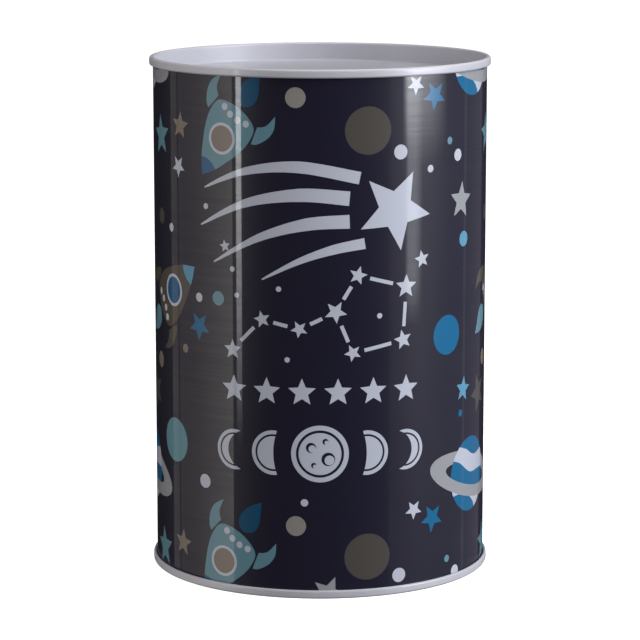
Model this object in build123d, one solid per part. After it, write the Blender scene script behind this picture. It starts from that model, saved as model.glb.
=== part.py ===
"""Tin money box: rolled tinplate body, two double-seamed ends and a pull-out stopper in the base.

Millimetres, +Z up. The origin is on the axis, level with the foot of the bottom seam.
The long side of the coin slot runs along X, and the lock seam of the body is at the back, at +Y.
"""
import os
from math import sqrt

from build123d import *

# Body sheet
HEIGHT = 154.0              # foot of the bottom seam to crown of the top seam
BODY_RADIUS = 50.0          # outside of the rolled wall
BODY_PLATE = 0.27           # sheet of the body

# Double seams, the same at both ends
END_PLATE = 0.27            # sheet of both ends
SEAM_HEIGHT = 2.5           # each seam, crown to folded edge
SEAM_GAP = 0.10             # free space between the folded layers
CROWN_RADIUS = 0.50         # bend of the end's sheet over the crown, on its middle line

# Pressed ends
TOP_RECESS = 5.6            # crown down to the floor of the top end
BASE_RECESS = 5.6           # foot up to the floor of the base
RECESS_BEND = 0.80          # bend between the chuck wall and the floor, on the middle line
COIN_SLOT_LENGTH = 42.0
COIN_SLOT_WIDTH = 5.0
SLOT_LIP_DEPTH = 1.2        # turned-down edge round the coin slot, below the floor's sheet
HOLE_RADIUS = 21.0          # hole in the base for the stopper, inside its turned-up lip
HOLE_LIP_DEPTH = 1.2        # that lip, above the base's sheet
EDGE_ROUND = 0.20           # rolled-over edge where a lip leaves the sheet

# Lock seam of the body: two hooks of the sheet folded into each other
LOCK_WIDTH = 4.0            # across the folded layers
LOCK_GAP = 0.08             # free space between them
LOCK_SLIT = 0.30            # open line seen from outside
LOCK_INSET = 1.0            # plain lapped wall between the floor of each end and the folds
LOCK_MARGIN = 0.6           # flattened wall on each side of the folds
LOCK_TIP_ROOM = 0.25        # from the cut edge of each hook to the bend that it sits in
LOCK_JOG_BEND = 0.20        # bends where the wall steps inward under the hooks, on the middle line

# Stopper
STOPPER_PLAY = 0.08         # radial running clearance between the plug and the hole
SEAT_GAP = 0.10             # flange to base, and bead to lip
FLANGE_REACH = 4.0          # flange beyond the hole
FLANGE_THICKNESS = 1.2
NECK_DEPTH = 0.45           # groove that the lip sits in
BEAD_HEIGHT = 2.0
LEAD_HEIGHT = 2.2           # tapered lead above the bead
LEAD_TAPER = 1.0            # how far the lead draws in
PLUG_WALL = 1.5
PLUG_FLOOR = 1.5
GRIP_THICKNESS = 3.0        # rib across the finger recess
GRIP_ROUND = 0.8            # rounding of the rib's lower edges

# Working allowances
BEND_ROOM = 0.001           # straight left between the two bends of a fold
NEAR = 0.01                 # how near an edge is to the level or size that it is looked for by

# Radii and levels of the seam's layers, on the middle line of each sheet
HOOK_PITCH = BODY_PLATE + END_PLATE + 2 * SEAM_GAP
WALL_MID = BODY_RADIUS - BODY_PLATE / 2
COVER_HOOK_MID = BODY_RADIUS + SEAM_GAP + END_PLATE / 2
BODY_HOOK_MID = WALL_MID + HOOK_PITCH
SEAM_WALL_MID = COVER_HOOK_MID + HOOK_PITCH
CHUCK_WALL_MID = BODY_RADIUS - BODY_PLATE - SEAM_GAP - END_PLATE / 2
END_CROWN_MID = -END_PLATE / 2
BODY_CROWN_MID = -END_PLATE - SEAM_GAP - BODY_PLATE / 2
SEAM_FOLD_MID = -SEAM_HEIGHT + END_PLATE / 2
BODY_HOOK_TIP = SEAM_FOLD_MID + HOOK_PITCH / 2
COVER_HOOK_TIP = BODY_CROWN_MID - HOOK_PITCH / 2

# Levels of the base and the stopper
BASE_SHEET_TOP = BASE_RECESS + END_PLATE
LIP_TOP = BASE_SHEET_TOP + HOLE_LIP_DEPTH
FLANGE_TOP = BASE_RECESS - SEAT_GAP
FLANGE_BOTTOM = FLANGE_TOP - FLANGE_THICKNESS
BEAD_BOTTOM = LIP_TOP + SEAT_GAP
BEAD_TOP = BEAD_BOTTOM + BEAD_HEIGHT
PLUG_TOP = BEAD_TOP + LEAD_HEIGHT
PLUG_RADIUS = HOLE_RADIUS - STOPPER_PLAY


def sheet_section(path, plate, plane):
    """Closed section of a bent sheet from its middle line, drawn in the plane's own X and Y."""
    return plane * trace(path, plate)


def revolved_sheet(points, radii, plate):
    """Round solid of a bent sheet whose middle line runs through (radius, level) points."""
    path = FilletPolyline(*points, radius=radii)
    return revolve(sheet_section(path, plate, Plane.XZ), Axis.Z)


def drawn_lip(outline, level, depth):
    """Straight lip of the end's sheet around an opening, from the sheet's inner side at level."""
    ring = offset(outline, END_PLATE, kind=Kind.ARC) - outline
    return Pos(0, 0, level) * extrude(ring, depth)


def end_blank(recess):
    """Pressed end with its crown at level 0 and its floor sunk by recess, seam folds included."""
    floor_mid = -recess - END_PLATE / 2
    points = [
        (0, floor_mid),
        (CHUCK_WALL_MID, floor_mid),
        (CHUCK_WALL_MID, END_CROWN_MID),
        (SEAM_WALL_MID, END_CROWN_MID),
        (SEAM_WALL_MID, SEAM_FOLD_MID),
        (COVER_HOOK_MID, SEAM_FOLD_MID),
        (COVER_HOOK_MID, COVER_HOOK_TIP),
    ]
    fold = HOOK_PITCH / 2 - BEND_ROOM
    radii = [RECESS_BEND, CROWN_RADIUS, CROWN_RADIUS, fold, fold]
    return revolved_sheet(points, radii, END_PLATE)


def pierced_end(recess, opening, lip_depth):
    """Pressed end with its crown at level 0, cut through by an opening and lipped round it."""
    under_floor = -recess - END_PLATE
    end = end_blank(recess)
    end += drawn_lip(opening, under_floor, -lip_depth)
    end -= Pos(0, 0, under_floor) * extrude(opening, 2 * END_PLATE)
    widest = opening.bounding_box().size.X + NEAR
    rim = end.edges().filter_by(lambda e: abs(e.center().Z + recess) < NEAR)
    rim = rim.filter_by(lambda e: e.bounding_box().size.X <= widest)
    return fillet(rim, EDGE_ROUND)


def make_top_end():
    """Top end with the coin slot and its turned-down lip."""
    slot = SlotOverall(COIN_SLOT_LENGTH, COIN_SLOT_WIDTH)
    return Pos(0, 0, HEIGHT) * pierced_end(TOP_RECESS, slot, SLOT_LIP_DEPTH)


def make_bottom_end():
    """Base end, the same pressing turned over, with the stopper's hole and its turned-up lip."""
    return Rot(180, 0, 0) * pierced_end(BASE_RECESS, Circle(HOLE_RADIUS), HOLE_LIP_DEPTH)


def hooked_rim(recess):
    """Plain ring at one end of the body, its flange turned out and down, seam crown at level 0."""
    points = [
        (WALL_MID, -recess - END_PLATE - LOCK_INSET),
        (WALL_MID, BODY_CROWN_MID),
        (BODY_HOOK_MID, BODY_CROWN_MID),
        (BODY_HOOK_MID, BODY_HOOK_TIP),
    ]
    fold = HOOK_PITCH / 2 - BEND_ROOM
    return revolved_sheet(points, [fold, fold], BODY_PLATE)


def lock_section():
    """Section of the long middle of the body: the round wall and its two interlocked hooks."""
    pitch = BODY_PLATE + LOCK_GAP
    bend = LOCK_WIDTH / 2 - pitch - BODY_PLATE / 2
    jog = LOCK_WIDTH / 2 + LOCK_SLIT + BODY_PLATE / 2
    edge = jog + LOCK_JOG_BEND + LOCK_MARGIN
    layer = [sqrt(WALL_MID**2 - edge**2) - pitch * n for n in range(4)]
    outer_hook = FilletPolyline(
        (-edge, layer[0]),
        (bend + pitch, layer[0]),
        (bend + pitch, layer[2]),
        (-bend + LOCK_TIP_ROOM, layer[2]),
        radius=pitch - BEND_ROOM,
    )
    inner_hook = FilletPolyline(
        (edge, layer[0]),
        (jog, layer[0]),
        (jog, layer[3]),
        (-bend - pitch, layer[3]),
        (-bend - pitch, layer[1]),
        (bend - LOCK_TIP_ROOM, layer[1]),
        radius=[LOCK_JOG_BEND, LOCK_JOG_BEND, pitch - BEND_ROOM, pitch - BEND_ROOM],
    )
    wall = ThreePointArc((-edge, layer[0]), (0, -WALL_MID), (edge, layer[0]))
    return sheet_section(outer_hook + wall + inner_hook, BODY_PLATE, Plane.XY)


def make_body_shell():
    """Rolled body: hooked rims at both ends and the lock seam between them."""
    low = BASE_RECESS + END_PLATE + LOCK_INSET
    high = HEIGHT - TOP_RECESS - END_PLATE - LOCK_INSET
    shell = Pos(0, 0, low) * extrude(lock_section(), high - low)
    shell += Pos(0, 0, HEIGHT) * hooked_rim(TOP_RECESS)
    shell += Rot(180, 0, 0) * hooked_rim(BASE_RECESS)
    return shell


def make_stopper():
    """Soft bung: flange under the base, neck in the lip, bead above it, finger recess below."""
    neck = PLUG_RADIUS - NECK_DEPTH
    recess_radius = neck - PLUG_WALL
    recess_top = PLUG_TOP - PLUG_FLOOR
    outline = Polyline(
        (0, PLUG_TOP),
        (PLUG_RADIUS - LEAD_TAPER, PLUG_TOP),
        (PLUG_RADIUS, BEAD_TOP),
        (PLUG_RADIUS, BEAD_BOTTOM),
        (neck, BEAD_BOTTOM),
        (neck, FLANGE_TOP),
        (HOLE_RADIUS + FLANGE_REACH, FLANGE_TOP),
        (HOLE_RADIUS + FLANGE_REACH, FLANGE_BOTTOM),
        (recess_radius, FLANGE_BOTTOM),
        (recess_radius, recess_top),
        (0, recess_top),
        close=True,
    )
    section = make_face(outline)
    corners = section.vertices().filter_by(lambda v: v.X > 0)
    plug = revolve(Plane.XZ * fillet(corners, EDGE_ROUND), Axis.Z)
    return plug + grip_rib(recess_radius, recess_top)


def grip_rib(radius, top):
    """Rib across the finger recess, rounded where it is pinched."""
    depth = top - FLANGE_BOTTOM
    reach = radius + PLUG_WALL / 2
    rib = Pos(0, 0, FLANGE_BOTTOM) * Box(
        2 * reach, GRIP_THICKNESS, depth, align=(Align.CENTER, Align.CENTER, Align.MIN)
    )
    long_edges = rib.edges().filter_by(Axis.X).group_by(Axis.Z)[0]
    rib = fillet(long_edges, GRIP_ROUND)
    return rib & Pos(0, 0, FLANGE_BOTTOM) * extrude(Circle(reach), depth)


PARTS = {
    "body_shell": make_body_shell,
    "top_end": make_top_end,
    "bottom_end": make_bottom_end,
    "stopper": make_stopper,
}

os.makedirs("parts", exist_ok=True)
for node, make in PARTS.items():
    solid = make().solid()
    solid.label = node
    export_step(solid, f"parts/{node}.step")
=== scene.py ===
"""Looks of the tin money box: printed body, two seamed tin ends and a plastic stopper.

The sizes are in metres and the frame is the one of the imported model. The print alone is laid out
in millimetres on the flat sheet: across from the middle of the front, and up from the foot.
"""
from math import asin, atan2, cos, pi, radians, sin, sqrt, tan

import bmesh
import bpy
from bpy.props import FloatProperty, FloatVectorProperty, IntProperty, PointerProperty
from mathutils import Matrix, Vector
from mathutils.geometry import delaunay_2d_cdt


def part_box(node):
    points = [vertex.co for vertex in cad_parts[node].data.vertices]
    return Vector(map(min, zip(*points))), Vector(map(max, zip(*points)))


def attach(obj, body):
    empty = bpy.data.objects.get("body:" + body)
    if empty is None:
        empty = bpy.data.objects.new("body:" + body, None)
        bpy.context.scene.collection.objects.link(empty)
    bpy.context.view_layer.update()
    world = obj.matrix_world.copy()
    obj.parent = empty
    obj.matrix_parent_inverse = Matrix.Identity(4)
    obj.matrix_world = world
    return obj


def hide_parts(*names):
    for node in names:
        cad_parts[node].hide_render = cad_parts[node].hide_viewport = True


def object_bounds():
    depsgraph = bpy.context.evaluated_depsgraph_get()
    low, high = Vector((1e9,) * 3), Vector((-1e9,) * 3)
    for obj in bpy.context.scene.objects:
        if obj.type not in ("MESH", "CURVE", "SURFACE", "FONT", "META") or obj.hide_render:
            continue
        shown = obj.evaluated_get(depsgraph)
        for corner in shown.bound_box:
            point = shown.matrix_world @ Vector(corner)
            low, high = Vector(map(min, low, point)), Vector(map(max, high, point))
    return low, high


bl_info = {
    "name": "Tin Money Box",
    "version": (1, 0, 0),
    "blender": (4, 5, 0),
    "location": "View3D > Sidebar > Money Box",
    "description": "Builds a printed tin money box with seamed ends and a stopper",
    "category": "Add Mesh",
}

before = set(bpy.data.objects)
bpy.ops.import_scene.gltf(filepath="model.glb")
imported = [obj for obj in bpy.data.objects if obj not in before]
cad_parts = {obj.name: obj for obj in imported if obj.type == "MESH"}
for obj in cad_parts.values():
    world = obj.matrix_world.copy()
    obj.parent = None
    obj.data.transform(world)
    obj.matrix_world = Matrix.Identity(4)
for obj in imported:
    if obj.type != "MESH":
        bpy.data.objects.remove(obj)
CAD_LOW, CAD_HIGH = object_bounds()
STOPPER_LOW, STOPPER_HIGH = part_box("stopper")
MM = 0.001
HARD_ANGLE = radians(38)        # faces that meet at a sharper angle than this keep a hard edge
BEND_ROOM = 0.001 * MM          # straight left between the two bends of a fold


def display_colour(red, green, blue):
    """Scene colour of a colour as a screen shows it, 0 to 255."""
    parts = [value / 255 for value in (red, green, blue)]
    return tuple(p / 12.92 if p < 0.04045 else ((p + 0.055) / 1.055) ** 2.4 for p in parts)


# Values that a user would change

def length(name, description, default):
    """A size in metres."""
    return FloatProperty(name=name, description=description, default=default, min=0.0,
                         precision=5, subtype="DISTANCE", unit="LENGTH")


def colour(name, description, default):
    """A colour, given as it reads on a screen."""
    return FloatVectorProperty(name=name, description=description, default=display_colour(*default),
                               min=0.0, max=1.0, size=3, subtype="COLOR")


class MoneyBoxSizes(bpy.types.PropertyGroup):
    """Sizes of the sheet, the seams and the openings."""

    height: length("Height", "Foot of the bottom seam to crown of the top seam", CAD_HIGH.z)
    seam_radius: length("Seam radius", "Outside of both double seams", CAD_HIGH.x)
    plate: length("Plate", "Thickness of the tinplate", 0.27 * MM)
    layer_gap: length("Layer gap", "Free space between folded layers", 0.10 * MM)
    seam_height: length("Seam height", "Crown to folded edge of each double seam", 2.5 * MM)
    crown_bend: length("Crown bend", "Bend of the end over the crown, middle line", 0.5 * MM)
    recess: length("Recess", "Crown down to the floor of each end", 5.6 * MM)
    recess_bend: length("Recess bend", "Bend between chuck wall and floor, middle line", 0.8 * MM)
    slot_length: length("Coin slot length", "Long side of the coin slot", 42 * MM)
    slot_width: length("Coin slot width", "Short side of the coin slot", 5 * MM)
    hole_radius: length("Hole radius", "Hole in the base for the stopper", 21 * MM)
    lip_depth: length("Lip depth", "Folded edge round the slot and the hole", 1.2 * MM)
    lip_bend: length("Lip bend", "Bend between floor and lip, middle line", 0.25 * MM)
    lock_width: length("Lock width", "Across the folded layers of the lock seam", 4 * MM)
    lock_gap: length("Lock gap", "Free space between the layers of the lock seam", 0.08 * MM)
    lock_slit: length("Lock slit", "Open line of the lock seam, seen from outside", 0.3 * MM)
    seam_droop: length("Seam droop", "Extra seam height where the lock seam crosses", 0.35 * MM)
    turns: IntProperty(name="Facets", description="Facets round each turned piece",
                       default=256, min=64, max=512)


class MoneyBoxColours(bpy.types.PropertyGroup):
    """Inks of the print and finishes of the bare parts."""

    ground: colour("Ground", "Night blue behind the print", (31, 29, 46))
    slate: colour("Slate", "Slate teal of rockets and stars", (94, 136, 150))
    sky: colour("Sky", "Light teal blue", (86, 145, 176))
    bright: colour("Bright blue", "Bright blue of planets and dots", (0, 96, 140))
    deep: colour("Deep blue", "Deep blue of nose cones and windows", (22, 86, 130))
    taupe: colour("Taupe", "Taupe of rockets and stars", (122, 111, 101))
    umber: colour("Umber", "Brown of the second rocket", (82, 74, 66))
    petrol: colour("Petrol", "Dark blue of the first rocket's flame", (0, 72, 106))
    olive: colour("Dark taupe", "Dark taupe of large dots", (75, 71, 68))
    dove: colour("Dove", "Warm grey of middle dots", (139, 134, 129))
    mist: colour("Mist", "Pale grey of rings and stars", (147, 149, 154))
    pale: colour("Pale", "Pale lavender white of the title", (184, 188, 202))
    tin: colour("Tinplate", "Satin tinplate of both ends", (195, 195, 204))
    inside: colour("Inside", "Bare tinplate inside the body", (190, 190, 196))
    stopper: colour("Stopper", "Natural soft plastic", (222, 222, 216))


class MoneyBoxStudio(bpy.types.PropertyGroup):
    """Camera and light."""

    camera_distance: length("Camera distance", "Camera to the axis of the tin", 849.5 * MM)
    camera_height: length("Camera height", "Camera above the floor", 222.8 * MM)
    camera_drop: FloatProperty(name="Camera drop", description="Downward angle of the camera",
                               default=radians(9.967), subtype="ANGLE", unit="ROTATION")
    lens: FloatProperty(name="Lens", description="Focal length", default=159.5, unit="CAMERA")
    fill: FloatProperty(name="Fill light", description="Brightness of the room on matt surfaces",
                        default=0.18, min=0.0)
    key: FloatProperty(name="Key light", description="Brightness of the large light on the right",
                       default=0.46, min=0.0)
    floor: colour("Floor", "Plain pale floor", (250, 250, 250))


# Node trees

def arithmetic(operation, reflected=False):
    """An operator of a wire: a Math node with the wire first, or second when it is reflected."""
    def operator(self, other):
        first, second = (other, self) if reflected else (self, other)
        return self.maths(operation, first, second)
    return operator


class Wire:
    """One output of a node. Arithmetic on it adds Math nodes to the same tree."""

    def __init__(self, graph, socket):
        self.graph = graph
        self.socket = socket

    def maths(self, operation, *values):
        """A Math node whose inputs are the values given."""
        inputs = dict(enumerate(values))
        return self.graph.add("ShaderNodeMath", {"operation": operation}, inputs).out("Value")

    __add__ = arithmetic("ADD")
    __radd__ = arithmetic("ADD", reflected=True)
    __sub__ = arithmetic("SUBTRACT")
    __rsub__ = arithmetic("SUBTRACT", reflected=True)
    __mul__ = arithmetic("MULTIPLY")
    __rmul__ = arithmetic("MULTIPLY", reflected=True)
    __truediv__ = arithmetic("DIVIDE")
    __rtruediv__ = arithmetic("DIVIDE", reflected=True)

    def __abs__(self):
        return self.maths("ABSOLUTE", self)

    def above(self, level):
        """1 where the value is above the level, else 0."""
        return self.maths("GREATER_THAN", self, level)

    def clamped(self):
        """The value held between 0 and 1."""
        return self.maths("MINIMUM", self.maths("MAXIMUM", self, 0.0), 1.0)


class Added:
    """A node that was added, with its outputs by name."""

    def __init__(self, graph, node):
        self.graph = graph
        self.node = node

    def out(self, name):
        """The shown output of that name or identifier."""
        for socket in self.node.outputs:
            if socket.enabled and name in (socket.name, socket.identifier):
                return Wire(self.graph, socket)
        raise KeyError(f"{self.node.bl_idname} has no output {name}")


class Graph:
    """Adds nodes to one tree."""

    def __init__(self, tree):
        self.tree = tree

    def add(self, kind, settings=None, inputs=None):
        """A node: its settings first, then the values or wires of its inputs."""
        node = self.tree.nodes.new(kind)
        for name, value in (settings or {}).items():
            setattr(node, name, value)
        for key, value in (inputs or {}).items():
            self.feed(self.find(node, key), value)
        return Added(self, node)

    @staticmethod
    def find(node, key):
        """The shown input with that number, name or identifier."""
        if isinstance(key, int):
            return node.inputs[key]
        for socket in node.inputs:
            if socket.enabled and key in (socket.name, socket.identifier):
                return socket
        raise KeyError(f"{node.bl_idname} has no input {key}")

    def feed(self, socket, value):
        """Links a wire to an input, or sets its value."""
        if isinstance(value, Wire):
            self.tree.links.new(value.socket, socket)
        else:
            socket.default_value = value


# Finishes

def new_finish(name):
    """A new material and the graph of its empty node tree."""
    material = bpy.data.materials.new(name)
    material.use_nodes = True
    material.node_tree.nodes.clear()
    return material, Graph(material.node_tree)


def opaque(colour_value, brightness=1.0):
    """A colour made brighter or darker, with full alpha."""
    return (*(min(1.0, brightness * value) for value in colour_value), 1.0)


def noise(graph, scale, stretch=(1, 1, 1), detail=2.0):
    """Noise from 0 to 1 on object coordinates. Its scale and stretch are in patches per metre."""
    place = graph.add("ShaderNodeTexCoord").out("Object")
    spread = graph.add("ShaderNodeMapping", {"vector_type": "POINT"},
                       {"Vector": place, "Scale": stretch}).out("Vector")
    settings = {"noise_dimensions": "3D", "normalize": True}
    inputs = {"Vector": spread, "Scale": scale, "Detail": detail}
    return graph.add("ShaderNodeTexNoise", settings, inputs).out("Fac")


def relief(graph, strength, depth, height):
    """Normal of a surface whose fine relief has the depth given."""
    return graph.add("ShaderNodeBump", inputs={
        "Strength": strength, "Distance": depth, "Height": height}).out("Normal")


def close_finish(graph, inputs):
    """Ends a material in its surface shader and the output."""
    shader = graph.add("ShaderNodeBsdfPrincipled", inputs=inputs)
    graph.add("ShaderNodeOutputMaterial", inputs={"Surface": shader.out("BSDF")})


def ink_finish(name, ink_colour):
    """Ink under clear varnish on rolled tinplate: the level rolling grain shows in the varnish."""
    material, graph = new_finish(name)
    grain = noise(graph, 1.0, stretch=(22, 22, 1500))
    skin = noise(graph, 420.0, detail=1.0)
    handling = noise(graph, 45.0, detail=3.0)
    varnish = 0.45 + 0.6 * (grain - 0.5) + 0.35 * handling
    close_finish(graph, {
        "Base Color": opaque(ink_colour), "Roughness": 0.30 + 0.12 * handling + 0.06 * grain,
        "Normal": relief(graph, 0.35, 0.004 * MM, grain + 0.6 * skin),
        "Specular IOR Level": 0.2, "Coat Weight": varnish.clamped(), "Coat Roughness": 0.04})
    return material


def tin_finish(name, tin_colour, metal=0.12, crowns=()):
    """Satin tinplate: rolling grain, soft mottling and polish where hands rub the crowns."""
    material, graph = new_finish(name)
    grain = noise(graph, 1.0, stretch=(1500, 60, 60))
    mottle = noise(graph, 160.0, detail=3.0)
    stain = noise(graph, 24.0)
    height = graph.add("ShaderNodeSeparateXYZ", inputs={
        "Vector": graph.add("ShaderNodeTexCoord").out("Object")}).out("Z")
    crown_reach = 0.45 * MM
    rubbed = 0.0
    for level in crowns:
        rubbed = rubbed + (1.0 - abs(height - level) / crown_reach).clamped()
    tone = (0.35 * mottle + 0.65 * stain).clamped()
    shade = graph.add("ShaderNodeMix", {"data_type": "RGBA"}, {
        "Factor": tone, "A": opaque(tin_colour, 0.86), "B": opaque(tin_colour, 1.06)}).out("Result")
    if crowns:
        polished = opaque((0.92, 0.92, 0.95))
        shade = graph.add("ShaderNodeMix", {"data_type": "RGBA"}, {
            "Factor": 0.5 * rubbed, "A": shade, "B": polished}).out("Result")
    close_finish(graph, {
        "Base Color": shade, "Roughness": 0.36 + 0.12 * mottle + 0.05 * grain - 0.08 * rubbed,
        "Normal": relief(graph, 0.4, 0.006 * MM, grain + 0.5 * mottle),
        "Metallic": metal, "Coat Weight": 0.3, "Coat Roughness": 0.10})
    return material


def plastic_finish(name, plastic_colour):
    """Soft moulded plastic: fine mould texture and faint, cloudy flow marks."""
    material, graph = new_finish(name)
    texture = noise(graph, 1500.0)
    flow = noise(graph, 60.0)
    shade = graph.add("ShaderNodeMix", {"data_type": "RGBA"}, {
        "Factor": flow, "A": opaque(plastic_colour, 0.84), "B": opaque(plastic_colour)}).out("Result")
    close_finish(graph, {
        "Base Color": shade, "Roughness": 0.42 + 0.14 * texture,
        "Normal": relief(graph, 0.5, 0.02 * MM, texture + 0.3 * flow)})
    return material


# Bent sheet

BEND_STEPS = 7                  # divisions of each bend
SUPPORT = 0.06 * MM             # from each end of a straight run to the division that keeps it flat
SAME_SPOT = 0.002 * MM          # samples closer than this are one


def bent_path(points, radii):
    """Samples (point, normal) along a line whose corners are bent; the normal is on its left."""
    samples = []
    points = [Vector(p) for p in points]
    last = len(points) - 1
    ways = [(b - a).normalized() for a, b in zip(points, points[1:])]
    straight_from = points[0]
    for number in range(1, last + 1):
        way = ways[number - 1]
        side = Vector((-way.y, way.x))
        if number == last:
            straight_to = points[last]
        else:
            ahead = ways[number]
            turn = atan2(way.cross(ahead), way.dot(ahead))
            reach = radii[number - 1] * tan(abs(turn) / 2)
            straight_to = points[number] - way * reach
        run = (straight_to - straight_from).length
        stops = [0.0, run]
        if run > 4 * SUPPORT:
            stops = [0.0, SUPPORT, run - SUPPORT, run]
        for stop in stops:
            if not samples or (straight_from + way * stop - samples[-1][0]).length > SAME_SPOT:
                samples.append((straight_from + way * stop, side))
        if number < last:
            hand = 1 if turn > 0 else -1
            centre = straight_to + side * radii[number - 1] * hand
            for step in range(1, BEND_STEPS + 1):
                part = Matrix.Rotation(turn * step / BEND_STEPS, 2)
                samples.append((centre + part @ (straight_to - centre), part @ side))
            straight_from = points[number] + ahead * reach
    return samples


def sheet_outline(samples, plate):
    """Closed outline of a sheet from the samples of its middle line."""
    left = [point + side * plate / 2 for point, side in samples]
    right = [point - side * plate / 2 for point, side in samples]
    return left + right[::-1]


WELD = 0.0005 * MM              # points of a turned piece closer than this become one
ROW_NUDGE = 0.0001              # keeps a whole row number from rounding down


def turned_tree():
    """Geometry nodes that turn a closed outline round the axis, with an opening stretched along X."""
    tree = bpy.data.node_groups.new("turned_outline", "GeometryNodeTree")
    names = {}
    for name, kind in (("Outline", "Geometry"), ("Facets", "Int"), ("Crown level", "Float"),
                       ("Upright", "Float"), ("Body radius", "Float"), ("Seam height", "Float"),
                       ("Seam droop", "Float"), ("Droop width", "Float"), ("Finish", "Material")):
        socket = tree.interface.new_socket(name, in_out="INPUT", socket_type=f"NodeSocket{kind}")
        names[name] = socket.identifier
    tree.interface.new_socket("Piece", in_out="OUTPUT", socket_type="NodeSocketGeometry")
    graph = Graph(tree)
    given = graph.add("NodeGroupInput")
    outline = given.out("Outline")
    facets = given.out("Facets")
    rows = graph.add("GeometryNodeAttributeDomainSize", {"component": "MESH"},
                     {"Geometry": outline}).out("Point Count")
    grid = graph.add("GeometryNodeMeshGrid", inputs={
        "Vertices X": rows + 1, "Vertices Y": facets + 1}).out("Mesh")
    index = graph.add("GeometryNodeInputIndex").out("Index")
    row = index.maths("FLOOR", index / (facets + 1) + ROW_NUDGE)
    column = index - row * (facets + 1)
    around = row.maths("FLOORED_MODULO", row, rows)
    place = graph.add("GeometryNodeInputPosition").out("Position")
    sample = graph.add("GeometryNodeSampleIndex", {"data_type": "FLOAT_VECTOR", "domain": "POINT"}, {
        "Geometry": outline, "Value": place, "Index": around}).out("Value")
    parts = graph.add("ShaderNodeSeparateXYZ", inputs={"Vector": sample})
    reach = parts.out("X")
    stretch = parts.out("Y")
    level = parts.out("Z")
    angle = (column + 0.5) * (2 * pi) / facets
    east = angle.maths("COSINE", angle)
    x = east * reach + east.maths("SIGN", east) * stretch
    y = angle.maths("SINE", angle) * reach
    outer = reach.above(given.out("Body radius"))
    depth = ((0.0 - level) / given.out("Seam height")).clamped()
    behind = y.above(0.0)
    near = (1.0 - abs(x) / given.out("Droop width")).clamped()
    soft = near * near * (3.0 - 2.0 * near)
    droop = given.out("Seam droop") * depth * depth * soft * outer * behind
    z = (level - droop) * given.out("Upright") + given.out("Crown level")
    spot = graph.add("ShaderNodeCombineXYZ", inputs={"X": x, "Y": y, "Z": z}).out("Vector")
    moved = graph.add("GeometryNodeSetPosition", inputs={"Geometry": grid, "Position": spot})
    merged = graph.add("GeometryNodeMergeByDistance", inputs={
        "Geometry": moved.out("Geometry"), "Distance": WELD})
    smooth = graph.add("GeometryNodeSetShadeSmooth", inputs={"Geometry": merged.out("Geometry")})
    real = graph.add("GeometryNodeRealizeInstances", inputs={"Geometry": smooth.out("Geometry")})
    finished = graph.add("GeometryNodeSetMaterial", inputs={
        "Geometry": real.out("Geometry"), "Material": given.out("Finish")})
    graph.add("NodeGroupOutput", inputs={"Piece": finished.out("Geometry")})
    return tree, names


def new_object(name, mesh):
    """An object at the origin that shows the mesh."""
    piece = bpy.data.objects.new(name, mesh)
    bpy.context.scene.collection.objects.link(piece)
    return piece


def turned_piece(name, outline, values):
    """A piece turned from (reach, stretch, level) points by the geometry nodes, as a plain mesh."""
    mesh = bpy.data.meshes.new(name)
    mesh.from_pydata([tuple(point) for point in outline], [], [])
    piece = new_object(name, mesh)
    tree, names = turned_tree()
    modifier = piece.modifiers.new("turned", "NODES")
    modifier.node_group = tree
    for label, value in values.items():
        modifier[names[label]] = value
    graph = bpy.context.evaluated_depsgraph_get()
    turned = bpy.data.meshes.new_from_object(piece.evaluated_get(graph))
    piece.modifiers.remove(modifier)
    piece.data = turned
    face_outwards(turned)
    return piece


def face_outwards(mesh):
    """Turns every face of a closed mesh to the outside and marks its hard edges."""
    work = bmesh.new()
    work.from_mesh(mesh)
    if work.calc_volume(signed=True) < 0:
        bmesh.ops.reverse_faces(work, faces=work.faces)
    work.to_mesh(mesh)
    work.free()
    mesh.set_sharp_from_angle(angle=HARD_ANGLE)


def finish_piece(piece, body, node):
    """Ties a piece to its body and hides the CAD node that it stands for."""
    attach(piece, body)
    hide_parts(node)


# Print

SHEET_REPEAT = 130.0            # from one tile of the print to the next, across the sheet
PRINT_REPEAT = 124.5            # and up it
RING_REACH = 20.9               # half width of a planet's ring
RING_DEPTH = 6.9                # its half height
STAR_WAIST = 0.45               # inner corners of a star, as a share of its radius


def circle(at, radius, steps=40):
    """Round outline."""
    return [(at[0] + radius * cos(2 * pi * n / steps), at[1] + radius * sin(2 * pi * n / steps))
            for n in range(steps)]


def ellipse(at, across, along, turn):
    """Oval outline with its half widths, turned by an angle in degrees."""
    ring = circle((0, 0), 1.0, 72)
    return placed([(x * across, y * along) for x, y in ring], at, turn)


def placed(points, at, turn, size=1.0):
    """Points scaled, turned anticlockwise in degrees and moved to their place."""
    c = cos(radians(turn)) * size
    s = sin(radians(turn)) * size
    return [(at[0] + c * x - s * y, at[1] + s * x + c * y) for x, y in points]


def star_outline(at, radius, turn=0.0):
    """Five-pointed star with one tip up when it isn't turned."""
    points = []
    for n in range(10):
        reach = radius if n % 2 == 0 else STAR_WAIST * radius
        angle = radians(90 + 36 * n)
        points.append((reach * cos(angle), reach * sin(angle)))
    return placed(points, at, turn)


def curve_point(start, end, leave, reach, t):
    """Point at part t of a smooth curve that leaves and reaches its ends along the given ways."""
    return ((2 * t**3 - 3 * t**2 + 1) * start + (t**3 - 2 * t**2 + t) * leave
            + (3 * t**2 - 2 * t**3) * end + (t**3 - t**2) * reach)


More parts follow.
